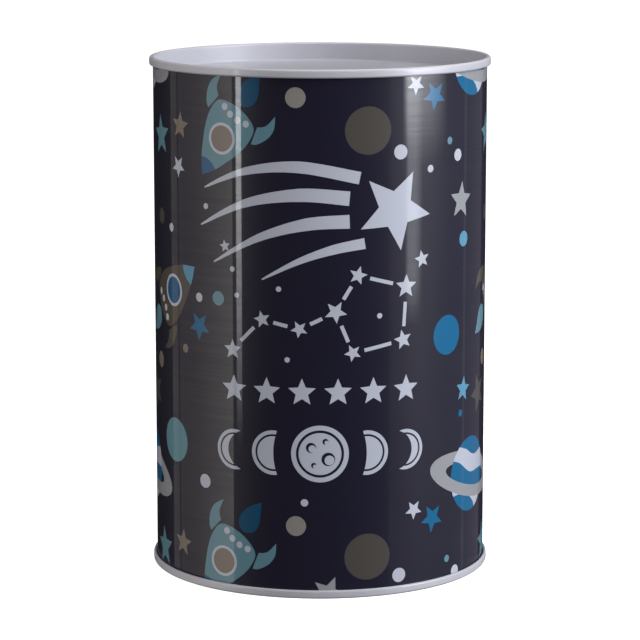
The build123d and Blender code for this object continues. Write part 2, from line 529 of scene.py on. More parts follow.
def flowing(points, corners=(), steps=6):
    """Closed smooth outline through the points, with a sharp turn at the numbered corners."""
    outline = []
    count = len(points)
    for n in range(count):
        a, b, c, d = (Vector(points[(n + k) % count]) for k in (-1, 0, 1, 2))
        leave = (c - b) / 2 if n in corners else (c - a) / 2
        reach = (c - b) / 2 if (n + 1) % count in corners else (d - b) / 2
        for step in range(steps):
            outline.append(tuple(curve_point(b, c, leave, reach, step / steps)))
    return outline


def stroke(points, widths, steps=8):
    """Outline of a tapering brush stroke along a smooth line through the points."""
    line = []
    last = len(points) - 1
    for n in range(last):
        a, b, c, d = (Vector(points[min(max(n + k, 0), last)]) for k in (-1, 0, 1, 2))
        for step in range(steps + (n == last - 1)):
            t = step / steps
            spot = curve_point(b, c, (c - a) / 2, (d - b) / 2, t)
            line.append((spot, widths[n] + (widths[n + 1] - widths[n]) * t))
    left = []
    right = []
    for n, (spot, width) in enumerate(line):
        way = (line[min(n + 1, len(line) - 1)][0] - line[max(n - 1, 0)][0]).normalized()
        side = Vector((-way.y, way.x)) * width / 2
        left.append(tuple(spot + side))
        right.append(tuple(spot - side))
    return left + right[::-1]


def mirrored(points):
    """The same outline the other way about its upright axis."""
    return [(-x, y) for x, y in points[::-1]]


class Print:
    """Flat outlines laid over each other; the last one that covers a spot gives its ink.

    The first outline is the ground, and the sheet stays bare beyond it.
    """

    def __init__(self, low, high):
        self.low = low
        self.high = high
        self.outlines = []
        self.layers = {}
        self.lay("ground", [low, (high[0], low[1]), high, (low[0], high[1])])

    def reaches(self, points):
        """Whether any of the outline lies on the sheet."""
        across = [x for x, y in points]
        up = [y for x, y in points]
        clear_across = max(across) < self.low[0] or min(across) > self.high[0]
        clear_up = max(up) < self.low[1] or min(up) > self.high[1]
        return not (clear_across or clear_up)

    def stencil(self, points):
        """An outline that only limits others. All outlines are kept anticlockwise."""
        after = points[1:] + points[:1]
        area = sum(a[0] * b[1] - b[0] * a[1] for a, b in zip(points, after))
        self.outlines.append(points if area > 0 else points[::-1])
        return len(self.outlines) - 1

    def lay(self, ink, points, within=(), without=()):
        """An inked outline, shown only within and without the numbered outlines."""
        if not self.reaches(points):
            return -1
        number = self.stencil(points)
        self.layers[number] = (ink, within, without)
        return number

    def ink_of(self, covering):
        """Ink of a spot from the numbers of the outlines that cover it."""
        if 0 not in covering:
            return "tin"
        for number in sorted(covering, reverse=True):
            ink, within, without = self.layers.get(number, (None, (), ()))
            if ink and all(n in covering for n in within) and not any(n in covering for n in without):
                return ink
        raise ValueError("the ground covers nothing here")


def lay_rocket(sheet, at, turn, size, inks):
    """Rocket with its nose up when it isn't turned: inks for body, nose, window, fins and flame."""
    body_ink, nose_ink, window_ink, fin_ink, flame_ink = inks

    def local(points):
        return placed(points, at, turn, size)

    fin = flowing([(8.9, -4.6), (10.5, -5.7), (12.2, -9.0), (12.3, -12.4), (10.5, -15.7),
                   (10.0, -12.4), (9.1, -10.9), (7.8, -9.9), (8.3, -7.3)], corners=(0, 4, 7))
    flame = flowing([(0.0, -23.3), (-1.5, -20.3), (-3.1, -17.0), (-2.9, -14.0), (-0.4, -12.1),
                     (2.3, -13.2), (3.3, -15.9), (2.5, -19.6)], corners=(0,))
    half = [(3.0, 9.4), (5.3, 4.8), (7.2, 0.0), (8.0, -4.4), (7.3, -8.6), (4.2, -10.4)]
    other = [(-x, y) for x, y in half]
    hull = flowing([(0.0, 13.4)] + half + [(0.0, -11.0)] + other[::-1], corners=(0,))
    cone = flowing([(0.0, 8.1), (3.2, 8.9), (8.0, 11.8), (9.0, 16.0), (-9.0, 16.0),
                    (-8.0, 11.8), (-3.2, 8.9)], corners=(2, 3, 4, 5))
    sheet.lay(flame_ink, local(flame))
    sheet.lay(fin_ink, local(fin))
    sheet.lay(fin_ink, local(mirrored(fin)))
    shape = sheet.lay(body_ink, local(hull))
    sheet.lay(nose_ink, local(cone), within=(shape,))
    for x, y in ((-4.3, -8.5), (-1.5, -7.8), (1.5, -7.8), (4.3, -8.5)):
        sheet.lay("pale", local(circle((x, y), 1.05, 16)))
    sheet.lay("pale", local(circle((0, 0), 4.7)))
    sheet.lay(window_ink, local(circle((0, 0), 3.85)))


def lay_planet(sheet, at, size, turn, ringed=True):
    """Banded planet, with a ring that passes behind its upper half."""
    def local(points):
        return placed(points, at, turn, size)

    if ringed:
        ring = local(ellipse((0, 0), RING_REACH, RING_DEPTH, 0))
        gap = sheet.stencil(ellipse(at, 14.0 * size, 3.4 * size, turn))
        sheet.lay("mist", ring, without=(gap,))
    ball = sheet.lay("pale", local(circle((0, 0), 11.3, 56)))
    cap = flowing([(-14, 14), (-14, 7.6), (-8.6, 7.3), (-4.3, 7.0), (-0.6, 6.0), (3.2, 6.2),
                   (7.8, 8.2), (14, 9.4), (14, 14)], corners=(0, 1, 7, 8))
    band = flowing([(-14, -5.0), (-14, 3.0), (-11.4, 2.9), (-7.4, 2.6), (-2.8, 1.0), (0.8, 0.5),
                    (6.6, 1.9), (14, 3.2), (14, -5.0)], corners=(0, 1, 7, 8))
    blob = flowing([(-14, -14), (-14, -8.2), (-9.3, -7.6), (-4.2, -6.4), (1.0, -6.8),
                    (4.6, -8.4), (5.9, -10.0), (6.4, -14)], corners=(0, 1, 6, 7))
    for shape in (cap, band, blob):
        sheet.lay("bright", local(shape), within=(ball,))
    if ringed:
        front = sheet.stencil(local([(-24, 0), (-24, -12), (24, -12), (24, 0)]))
        sheet.lay("mist", ring, within=(front,), without=(gap,))


TILE_STARS = (
    ("slate", (-60.5, 132.0), 6.3, 5), ("taupe", (-47.5, 136.0), 4.2, -5),
    ("pale", (-48.5, 124.0), 3.3, 36), ("mist", (48.5, 114.0), 5.7, -5),
    ("sky", (50.5, 57.5), 4.0, -8), ("olive", (62.0, 54.5), 6.3, 20),
    ("pale", (29.0, 24.5), 3.0, 34), ("bright", (36.0, 21.0), 4.4, 30),
    ("bright", (-39.0, 78.0), 4.4, 34),
)
TILE_DOTS = (
    ("dove", (-7.0, 146.0), 2.95), ("olive", (14.0, 136.5), 6.9), ("pale", (24.0, 130.0), 2.15),
    ("slate", (42.5, 132.0), 1.1), ("pale", (46.5, 127.5), 1.8), ("sky", (50.0, 102.5), 2.3),
    ("olive", (-60.5, 108.0), 2.4), ("pale", (-53.0, 105.5), 1.3), ("pale", (-39.0, 86.5), 1.35),
    ("slate", (-31.5, 87.0), 2.1), ("taupe", (-45.5, 70.5), 1.3), ("taupe", (-62.5, 64.5), 2.5),
    ("bright", (42.0, 75.0), 5.9), ("bright", (49.0, 50.5), 1.05), ("slate", (-51.5, 42.0), 6.6),
    ("pale", (-37.0, 32.0), 2.1), ("pale", (-4.5, 28.5), 1.1),
)
FILLER_STARS = (
    ("taupe", (23.0, 121.0), 5.0, 12), ("bright", (4.0, 122.5), 3.8, 30),
    ("mist", (-9.0, 84.0), 4.8, -8), ("sky", (-10.5, 72.5), 3.6, 16),
    ("pale", (-5.0, 61.0), 3.0, 34), ("slate", (-33.0, 63.0), 5.2, 4),
    ("pale", (-33.0, 38.0), 3.2, 30), ("taupe", (31.0, 77.0), 3.6, 22),
)
FILLER_DOTS = (
    ("pale", (-34.0, 97.5), 1.9), ("sky", (-31.0, 124.0), 1.3), ("slate", (33.0, 112.0), 1.3),
    ("olive", (-24.0, 77.0), 6.4), ("pale", (15.0, 84.0), 1.5), ("bright", (19.0, 75.0), 4.4),
    ("mist", (-3.0, 42.0), 2.2), ("sky", (29.0, 37.0), 1.2), ("pale", (2.0, 93.0), 1.2),
    ("taupe", (-14.5, 64.0), 1.2), ("pale", (33.0, 92.0), 1.7),
)


def lay_tile(sheet, across, up):
    """The repeating rockets, planet, stars and dots round the title."""
    def spot(x, y):
        return (x + across, y + up)

    lay_rocket(sheet, spot(-30.0, 133.5), 146.0, 0.98, ("slate", "deep", "taupe", "slate", "petrol"))
    lay_rocket(sheet, spot(-52.0, 87.0), -53.5, 1.03, ("umber", "sky", "deep", "umber", "slate"))
    lay_planet(sheet, spot(55.5, 31.0), 1.0, -13.5)
    for ink, (x, y), radius, turn in TILE_STARS:
        sheet.lay(ink, star_outline(spot(x, y), radius, turn))
    for ink, (x, y), radius in TILE_DOTS:
        sheet.lay(ink, circle(spot(x, y), radius))


def lay_filler(sheet, across):
    """More rockets, planets, stars and dots where a repeat of the tile has no title."""
    def spot(x, y):
        return (x + across, y)

    lay_rocket(sheet, spot(-17.0, 110.0), 24.0, 0.95, ("slate", "deep", "taupe", "sky", "bright"))
    lay_planet(sheet, spot(16.5, 100.0), 0.74, 14.0)
    lay_rocket(sheet, spot(14.0, 55.0), -142.0, 0.95, ("umber", "sky", "deep", "umber", "slate"))
    lay_planet(sheet, spot(-19.5, 50.0), 0.66, -22.0, ringed=False)
    for ink, (x, y), radius, turn in FILLER_STARS:
        sheet.lay(ink, star_outline(spot(x, y), radius, turn))
    for ink, (x, y), radius in FILLER_DOTS:
        sheet.lay(ink, circle(spot(x, y), radius))


def lay_shooting_star(sheet):
    """Large star with four sweeping tail strokes, at the head of the title."""
    sheet.lay("pale", star_outline((22.5, 113.5), 12.0, -28))
    tails = (
        ([(-36.5, 119.0), (-22.0, 124.6), (-6.0, 126.2), (11.5, 123.0)], (0.4, 2.2, 3.4, 3.6)),
        ([(-38.0, 108.0), (-22.0, 115.4), (-6.0, 118.2), (8.5, 117.2)], (0.4, 2.4, 3.8, 4.2)),
        ([(-33.0, 97.6), (-18.0, 105.6), (-4.0, 109.8), (8.5, 110.6)], (0.4, 2.2, 3.6, 4.0)),
        ([(-17.0, 93.6), (-6.0, 99.2), (4.0, 102.6), (13.0, 104.2)], (0.4, 1.8, 2.8, 3.2)),
    )
    for points, widths in tails:
        sheet.lay("pale", stroke(points, widths))
    for at, radius in (((31.5, 98.5), 2.7), ((-29.0, 102.5), 1.9)):
        sheet.lay("pale", star_outline(at, radius, 10))
    for at, radius in (((-36.0, 113.5), 0.9), ((34.5, 124.5), 1.1), ((-26.5, 96.0), 0.8)):
        sheet.lay("pale", circle(at, radius, 20))


def lay_constellation(sheet):
    """Stars joined by thin lines, in the middle of the title."""
    clearance = 0.9
    line_width = 1.1
    stars = (((-26.5, 72.5), 3.0), ((-17.0, 82.0), 2.6), ((-6.0, 79.5), 2.6), ((4.5, 84.5), 3.4),
             ((11.0, 95.0), 2.8), ((26.0, 91.0), 3.6), ((25.0, 75.5), 3.0), ((9.5, 72.5), 2.6))
    joined = ((0, 1), (1, 2), (2, 3), (3, 4), (4, 5), (5, 6), (6, 7), (7, 3))
    for a, b in joined:
        start = Vector(stars[a][0])
        end = Vector(stars[b][0])
        way = (end - start).normalized()
        start += way * (stars[a][1] + clearance)
        end -= way * (stars[b][1] + clearance)
        sheet.lay("pale", stroke([tuple(start), tuple(end)], (line_width, line_width), steps=1))
    for number, (at, radius) in enumerate(stars):
        sheet.lay("pale", star_outline(at, radius, 14 * number))
    for at in ((-12.0, 91.0), (-25.0, 88.5), (-9.5, 70.5), (17.5, 83.0)):
        sheet.lay("pale", circle(at, 0.8, 16))


def lay_star_row(sheet):
    """Six level stars under the constellation."""
    first = -26.1
    pitch = 10.44
    level = 61.0
    radius = 4.2
    for number in range(6):
        sheet.lay("pale", star_outline((first + pitch * number, level), radius))


def lay_moons(sheet):
    """Five phases of the moon at the foot of the title, each with a fine inner line."""
    moons = ((-26.0, 6.0), (-13.7, 6.6), (0.0, 8.4), (13.7, 6.6), (26.0, 6.0))
    level = 43.0
    for number, (across, radius) in enumerate(moons):
        at = (across, level)
        hand = 1 if number > 2 else -1
        shadow = None
        if number in (0, 4):
            shadow = circle((at[0] - hand * 0.62 * radius, at[1]), 0.98 * radius, 56)
        elif number in (1, 3):
            shadow = circle((at[0] - hand * 2.9 * radius, at[1]), 2.9 * radius, 120)
        cut = () if shadow is None else (sheet.stencil(shadow),)
        sheet.lay("pale", circle(at, radius, 64), without=cut)
        inner = sheet.stencil(circle(at, 0.74 * radius, 56))
        sheet.lay("ground", circle(at, 0.83 * radius, 56), without=cut + (inner,))
    for x, y, radius in ((-2.6, 44.8, 1.5), (2.4, 41.4, 2.0), (1.6, 46.6, 0.9), (-1.8, 39.6, 0.8)):
        sheet.lay("ground", circle((x, y), radius, 28))
        sheet.lay("pale", circle((x + 0.35, y - 0.3), 0.72 * radius, 24))


def lay_print(sheet):
    """The whole print: the tile all over, its filler away from the title, and the title."""
    for across in (-SHEET_REPEAT, 0.0, SHEET_REPEAT):
        for up in (-PRINT_REPEAT, 0.0, PRINT_REPEAT):
            lay_tile(sheet, across, up)
    lay_filler(sheet, -SHEET_REPEAT)
    lay_filler(sheet, SHEET_REPEAT)
    sheet.lay("mist", star_outline((2.5, 1.5), 5.2, -22))
    lay_shooting_star(sheet)
    lay_constellation(sheet)
    lay_star_row(sheet)
    lay_moons(sheet)


# Rolled body

def eased(part):
    """A smooth start and stop for a part from 0 to 1."""
    held = min(max(part, 0.0), 1.0)
    return held * held * (3 - 2 * held)


WALL_FACETS = 180               # divisions of the sheet round the wall
LOCK_ROWS = 12                  # divisions of the sheet up the folds of its lock
NOTCH_ROWS = 5                  # levels near each end, where those folds begin
STRAIGHT_IN = 0.001             # part of a normal along Y that counts as none


class RolledSheet:
    """The developed body sheet and how it rolls up into the round wall and its lock seam.

    The folds of the lock end short of both ends, where the sheet is notched and only laps.
    """

    def __init__(self, sizes):
        self.plate = sizes.plate
        self.radius = sizes.seam_radius - 3 * (sizes.plate + sizes.layer_gap)
        self.round_to = sizes.recess + sizes.plate
        lock_inset = 1.0 * MM
        self.lock_from = self.round_to + lock_inset
        self.height = sizes.height
        middle = self.radius - self.plate / 2
        pitch = self.plate + sizes.lock_gap
        bend = sizes.lock_width / 2 - pitch - self.plate / 2
        jog = sizes.lock_width / 2 + sizes.lock_slit + self.plate / 2
        jog_bend = 0.20 * MM
        tip_room = 0.25 * MM
        flat_margin = 0.6 * MM
        edge = jog + jog_bend + flat_margin
        layer = [sqrt(middle**2 - edge**2) - pitch * n for n in range(4)]
        fold = pitch - BEND_ROOM
        left_hook = bent_path(
            [(-edge, layer[0]), (bend + pitch, layer[0]), (bend + pitch, layer[2]),
             (-bend + tip_room, layer[2])], [fold, fold])
        right_hook = bent_path(
            [(edge, layer[0]), (jog, layer[0]), (jog, layer[3]), (-bend - pitch, layer[3]),
             (-bend - pitch, layer[1]), (bend - tip_room, layer[1])],
            [jog_bend, jog_bend, fold, fold])
        self.hooks = {-1: left_hook, 1: right_hook}
        self.stops = {hand: self.stops_of(hook) for hand, hook in self.hooks.items()}
        self.wall_end = self.radius * (pi - asin(edge / middle))
        slit_middle = (sizes.lock_width + sizes.lock_slit) / 2
        meeting = asin(slit_middle / self.radius)
        self.meeting = {-1: pi + meeting, 1: pi - meeting}
        self.notch = {hand: self.wall_end + self.first_bend(hand) for hand in self.hooks}

    @staticmethod
    def stops_of(samples):
        """Length along a hook at each of its samples."""
        found = [0.0]
        for before, after in zip(samples, samples[1:]):
            found.append(found[-1] + (after[0] - before[0]).length)
        return found

    def first_bend(self, hand):
        """Length along a hook to where it has turned straight in."""
        for stop, (point, side) in zip(self.stops[hand], self.hooks[hand]):
            if abs(side.y) < STRAIGHT_IN:
                return stop
        raise ValueError("the hook never turns inward")

    def columns(self):
        """Places across the sheet where it is divided: even on the wall, each sample on the hooks."""
        wall = [self.wall_end * (2 * n / WALL_FACETS - 1) for n in range(WALL_FACETS + 1)]
        left = [-self.wall_end - stop for stop in self.stops[-1][1:]]
        right = [self.wall_end + stop for stop in self.stops[1][1:]]
        return left[::-1] + wall + right

    def levels(self, low, high):
        """Levels where the sheet is divided, closer where the folds of the lock begin."""
        found = [low]
        for n in range(NOTCH_ROWS):
            found.append(self.round_to + (self.lock_from - self.round_to) * n / (NOTCH_ROWS - 1))
        top = self.height - self.lock_from
        for n in range(1, LOCK_ROWS):
            found.append(self.lock_from + (top - self.lock_from) * n / LOCK_ROWS)
        return found + [self.height - level for level in found[NOTCH_ROWS:0:-1]] + [high]

    def blank(self, low, high):
        """Outline of the sheet before it is rolled, notched at its four corners."""
        left = -self.wall_end - self.stops[-1][-1]
        right = self.wall_end + self.stops[1][-1]
        foot = self.lock_from
        top = self.height - self.lock_from
        return [(-self.notch[-1], low), (self.notch[1], low), (self.notch[1], foot),
                (right, foot), (right, top), (self.notch[1], top), (self.notch[1], high),
                (-self.notch[-1], high), (-self.notch[-1], top), (left, top), (left, foot),
                (-self.notch[-1], foot)]

    def at(self, across, level):
        """Point of the middle line and its outward normal at a place on the sheet."""
        hand = -1 if across < 0 else 1
        beyond = abs(across) - self.wall_end
        angle = across / self.radius
        if beyond > 0:
            share = beyond / (self.notch[hand] - self.wall_end)
            start = self.wall_end / self.radius
            angle = hand * (start + (self.meeting[hand] - start) * share)
        out = Vector((sin(angle), -cos(angle)))
        point = out * (self.radius - self.plate / 2)
        if beyond <= 0:
            return point, out
        from_end = min(level, self.height - level)
        locked = eased((from_end - self.round_to) / (self.lock_from - self.round_to))
        if locked == 0:
            return point, out
        samples = self.hooks[hand]
        stops = self.stops[hand]
        number = 0
        while number < len(stops) - 2 and beyond > stops[number + 1]:
            number += 1
        part = (beyond - stops[number]) / (stops[number + 1] - stops[number])
        folded = samples[number][0].lerp(samples[number + 1][0], part)
        side = samples[number][1].lerp(samples[number + 1][1], part).normalized() * -hand
        return point.lerp(folded, locked), out.lerp(side, locked).normalized()


def flat_sheet(blank, columns, levels, outlines, extra=()):
    """Triangles of the flat sheet, cut along its columns, its levels and every outline.

    Each comes with the numbers of the outlines that cover it. Extra spots become corners too.
    """
    points = []
    edges = []
    rows = len(levels)
    for column, x in enumerate(columns):
        for n, y in enumerate(levels):
            points.append((x, y))
            here = column * rows + n
            if n:
                edges.append((here - 1, here))
            if column:
                edges.append((here - rows, here))
    points.extend(extra)
    faces = []
    for outline in [*outlines, blank]:
        first = len(points)
        points.extend(outline)
        faces.append(list(range(first, len(points))))
    cut_inside = 1
    tolerance = 1e-5
    result = delaunay_2d_cdt([Vector(p) for p in points], edges, faces, cut_inside, tolerance, True)
    spots, triangles, covering = result[0], result[2], result[5]
    return [([spots[n] for n in triangle], cover)
            for triangle, cover in zip(triangles, covering) if len(outlines) in cover]


def rounded(spot):
    """A spot of the flat sheet as a key that near equal spots share."""
    return (round(spot[0], 4), round(spot[1], 4))


class SheetFaces:
    """Gathers the faces of the rolled body, whose two sides each share their vertices."""

    def __init__(self, rolled):
        self.rolled = rolled
        self.used = {}
        self.places = []
        self.normals = []
        self.faces = []
        self.inks = []

    def vertex(self, spot, side):
        """Number of the vertex over a spot of the flat sheet, side 1 outside and -1 inside."""
        key = (side, rounded(spot))
        if key not in self.used:
            point, out = self.rolled.at(spot[0] * MM, spot[1] * MM)
            place = point + out * side * self.rolled.plate / 2
            self.used[key] = len(self.places)
            self.places.append((place.x, place.y, spot[1] * MM))
            self.normals.append(Vector((out.x * side, out.y * side, 0.0)))
        return self.used[key]

    def add(self, corners, ink):
        """A face, unless two of its corners are one vertex. Says whether it was added."""
        if len(set(corners)) < len(corners):
            return False
        self.faces.append(corners)
        self.inks.append(ink)
        return True

    def mesh(self, name, slots, smooth_count):
        """The mesh. Only its first faces, as many as given, are shaded as one round surface."""
        mesh = bpy.data.meshes.new(name)
        mesh.from_pydata(self.places, [], self.faces, shade_flat=False)
        for slot in slots.values():
            mesh.materials.append(slot)
        order = {ink: number for number, ink in enumerate(slots)}
        mesh.polygons.foreach_set("material_index", [order[ink] for ink in self.inks])
        corner_normals = []
        for polygon in mesh.polygons:
            smooth = polygon.index < smooth_count
            for corner in polygon.vertices:
                corner_normals.append(self.normals[corner] if smooth else polygon.normal.copy())
        mesh.normals_split_custom_set(corner_normals)
        mesh.validate()
        return mesh


def rolled_mesh(name, rolled, sheet, low, high, slots):
    """Closed mesh of the rolled body: printed outside, bare inside, cut edges between them."""
    columns = [x / MM for x in rolled.columns()]
    levels = [y / MM for y in rolled.levels(low * MM, high * MM)]
    blank = [(x / MM, y / MM) for x, y in rolled.blank(low * MM, high * MM)]
    gathered = SheetFaces(rolled)
    sides = {}
    for spots, covering in flat_sheet(blank, columns, levels, sheet.outlines):
        corners = [gathered.vertex(spot, 1) for spot in spots]
        if gathered.add(corners, sheet.ink_of(covering)):
            for a, b in zip(spots, spots[1:] + spots[:1]):
                sides[(rounded(a), rounded(b))] = (a, b)
    rim = [pair for (a, b), pair in sides.items() if (b, a) not in sides]
    border = [tuple(a) for a, b in rim]
    inner_levels = levels[:NOTCH_ROWS + 1] + levels[-NOTCH_ROWS - 1:]
    for spots, covering in flat_sheet(blank, columns, inner_levels, [], border):
        gathered.add([gathered.vertex(spot, -1) for spot in spots][::-1], "inside")
    smooth_count = len(gathered.faces)
    for a, b in rim:
        gathered.add([gathered.vertex(b, 1), gathered.vertex(a, 1),
                      gathered.vertex(a, -1), gathered.vertex(b, -1)], "tin")
    return gathered.mesh(name, slots, smooth_count)


# Tin ends

def end_outline(sizes, opening, stretch):
    """Outline of a pressed end with its crown at level 0, from the lip of its opening outward."""
    plate = sizes.plate
    gap = sizes.layer_gap
    body = sizes.seam_radius - 3 * (plate + gap)
    pitch = 2 * (plate + gap)
    chuck = body - plate - gap - plate / 2
    cover_hook = body + gap + plate / 2
    seam_wall = cover_hook + pitch
    crown = -plate / 2
    fold = -sizes.seam_height + plate / 2
    hook_tip = -plate - gap - plate / 2 - pitch / 2
    floor = -sizes.recess - plate / 2
    lip = opening + plate / 2
    lip_foot = floor - plate / 2 - sizes.lip_depth
    points = [(lip, lip_foot), (lip, floor), (chuck, floor), (chuck, crown), (seam_wall, crown),
              (seam_wall, fold), (cover_hook, fold), (cover_hook, hook_tip)]
    hook_bend = pitch / 2 - BEND_ROOM
    radii = [sizes.lip_bend, sizes.recess_bend, sizes.crown_bend, sizes.crown_bend,
             hook_bend, hook_bend]
    seam_face = body + 0.7 * MM
    seam_crowning = 0.07 * MM
    stretched_to = opening + 2 * MM
    outline = []
    middle = -sizes.seam_height / 2
    for reach, level in sheet_outline(bent_path(points, radii), plate):
        if reach > seam_face:
            reach -= seam_crowning * ((level - middle) / middle) ** 2
        outline.append((reach, stretch if reach < stretched_to else 0.0, level))
    return outline


# Operators

INKS = ("ground", "slate", "sky", "bright", "deep", "petrol", "taupe", "umber", "olive", "dove",
        "mist", "pale")


class MONEYBOX_OT_body(bpy.types.Operator):
    """Roll the printed body sheet and fold its lock seam"""

    bl_idname = "moneybox.body"
    bl_label = "Printed body"

    def execute(self, context):
        sizes = context.scene.moneybox_sizes
        colours = context.scene.moneybox_colours
        rolled = RolledSheet(sizes)
        end_margin = 0.9
        side_margin = 1.4
        low = end_margin
        high = sizes.height / MM - end_margin
        left = -rolled.notch[-1] / MM + side_margin
        right = rolled.notch[1] / MM - side_margin
        sheet = Print((left, low), (right, high))
        lay_print(sheet)
        slots = {ink: ink_finish(f"ink_{ink}", getattr(colours, ink)) for ink in INKS}
        slots["tin"] = tin_finish("tin_margin", colours.tin)
        slots["inside"] = tin_finish("tin_inside", colours.inside, metal=0.6)
        mesh = rolled_mesh("printed_body", rolled, sheet, low, high, slots)
        piece = new_object("printed_body", mesh)
        finish_piece(piece, "tin", "body_shell")
        return {"FINISHED"}


class MONEYBOX_OT_ends(bpy.types.Operator):
    """Press the top end with its coin slot and the base end with its hole"""

    bl_idname = "moneybox.ends"
    bl_label = "Tin ends"

    def execute(self, context):
        sizes = context.scene.moneybox_sizes
        colours = context.scene.moneybox_colours
        finish = tin_finish("tin_ends", colours.tin, crowns=(0.0, sizes.height))
        shared = {"Facets": sizes.turns, "Body radius": sizes.seam_radius - 1.1 * MM,
                  "Seam height": sizes.seam_height, "Seam droop": sizes.seam_droop,
                  "Droop width": 3.5 * MM, "Finish": finish}
        slot_half = sizes.slot_width / 2
        stretch = sizes.slot_length / 2 - slot_half
        ends = (
            ("pressed_top", "top_end", end_outline(sizes, slot_half, stretch), sizes.height, 1.0),
            ("pressed_base", "bottom_end", end_outline(sizes, sizes.hole_radius, 0.0), 0.0, -1.0),
        )
        for name, node, outline, crown, upright in ends:
            values = dict(shared, **{"Crown level": crown, "Upright": upright})
            finish_piece(turned_piece(name, outline, values), "tin", node)
        return {"FINISHED"}


class MONEYBOX_OT_stopper(bpy.types.Operator):
    """Mould the soft stopper with its finger rib"""

    bl_idname = "moneybox.stopper"
    bl_label = "Stopper"

    def execute(self, context):
        sizes = context.scene.moneybox_sizes
        colours = context.scene.moneybox_colours
        finish = plastic_finish("soft_plastic", colours.stopper)
        flange_thickness = 1.2 * MM
        lead_height = 2.2 * MM
        lead_taper = 1.0 * MM
        bead_height = 2.0 * MM
        play = 0.08 * MM
        neck_depth = 0.45 * MM
        wall = 1.5 * MM
        flange = STOPPER_HIGH.x
        flange_bottom = STOPPER_LOW.z
        flange_top = flange_bottom + flange_thickness
        plug_top = STOPPER_HIGH.z
        bead_top = plug_top - lead_height
        bead_bottom = bead_top - bead_height
        bead = sizes.hole_radius - play
        neck = bead - neck_depth
        cup = neck - wall
        cup_top = plug_top - wall
        corners = (
            (cup, cup_top, 0.6), (cup, flange_bottom, 0.35), (flange, flange_bottom, 0.5),
            (flange, flange_top, 0.3), (neck, flange_top, 0.2), (neck, bead_bottom, 0.15),
            (bead, bead_bottom, 0.2), (bead, bead_top, 0.6), (bead - lead_taper, plug_top, 0.5),
        )
        points = [(0, cup_top), *((reach, level) for reach, level, bend in corners), (0, plug_top)]
        radii = [bend * MM for reach, level, bend in corners]
        outline = [(point.x, 0.0, point.y) for point, side in bent_path(points, radii)]
        facets = 192
        values = {"Facets": facets, "Crown level": 0.0, "Upright": 1.0, "Body radius": 1.0,
                  "Seam height": 1.0, "Seam droop": 0.0, "Droop width": 1.0, "Finish": finish}
        piece = turned_piece("soft_stopper", outline, values)
        rib_end = cup + wall / 2
        rib_low = flange_bottom + 0.1 * MM
        rib_high = cup_top + 0.3 * MM
        self.add_rib(piece.data, rib_end, rib_low, rib_high)
        finish_piece(piece, "bung", "stopper")
        return {"FINISHED"}

    @staticmethod
    def add_rib(mesh, reach, low, high):
        """Adds the rib across the finger recess, with rounded lower edges."""
        half = 1.5 * MM
        edge_round = 0.8 * MM
        corners = [(-half, high), (-half, low), (half, low), (half, high)]
        section = [(point.x, point.y) for point, side in bent_path(corners, [edge_round] * 2)]
        work = bmesh.new()
        work.from_mesh(mesh)
        rings = [[work.verts.new((x, y, z)) for y, z in section] for x in (-reach, reach)]
        count = len(section)
        made = []
        for n in range(count):
            m = (n + 1) % count
            made.append(work.faces.new((rings[0][n], rings[0][m], rings[1][m], rings[1][n])))
        made.append(work.faces.new(rings[0]))
        made.append(work.faces.new(rings[1][::-1]))
        bmesh.ops.recalc_face_normals(work, faces=made)
        for face in made:
            face.smooth = True
        work.to_mesh(mesh)
        work.free()
        mesh.set_sharp_from_angle(angle=HARD_ANGLE)


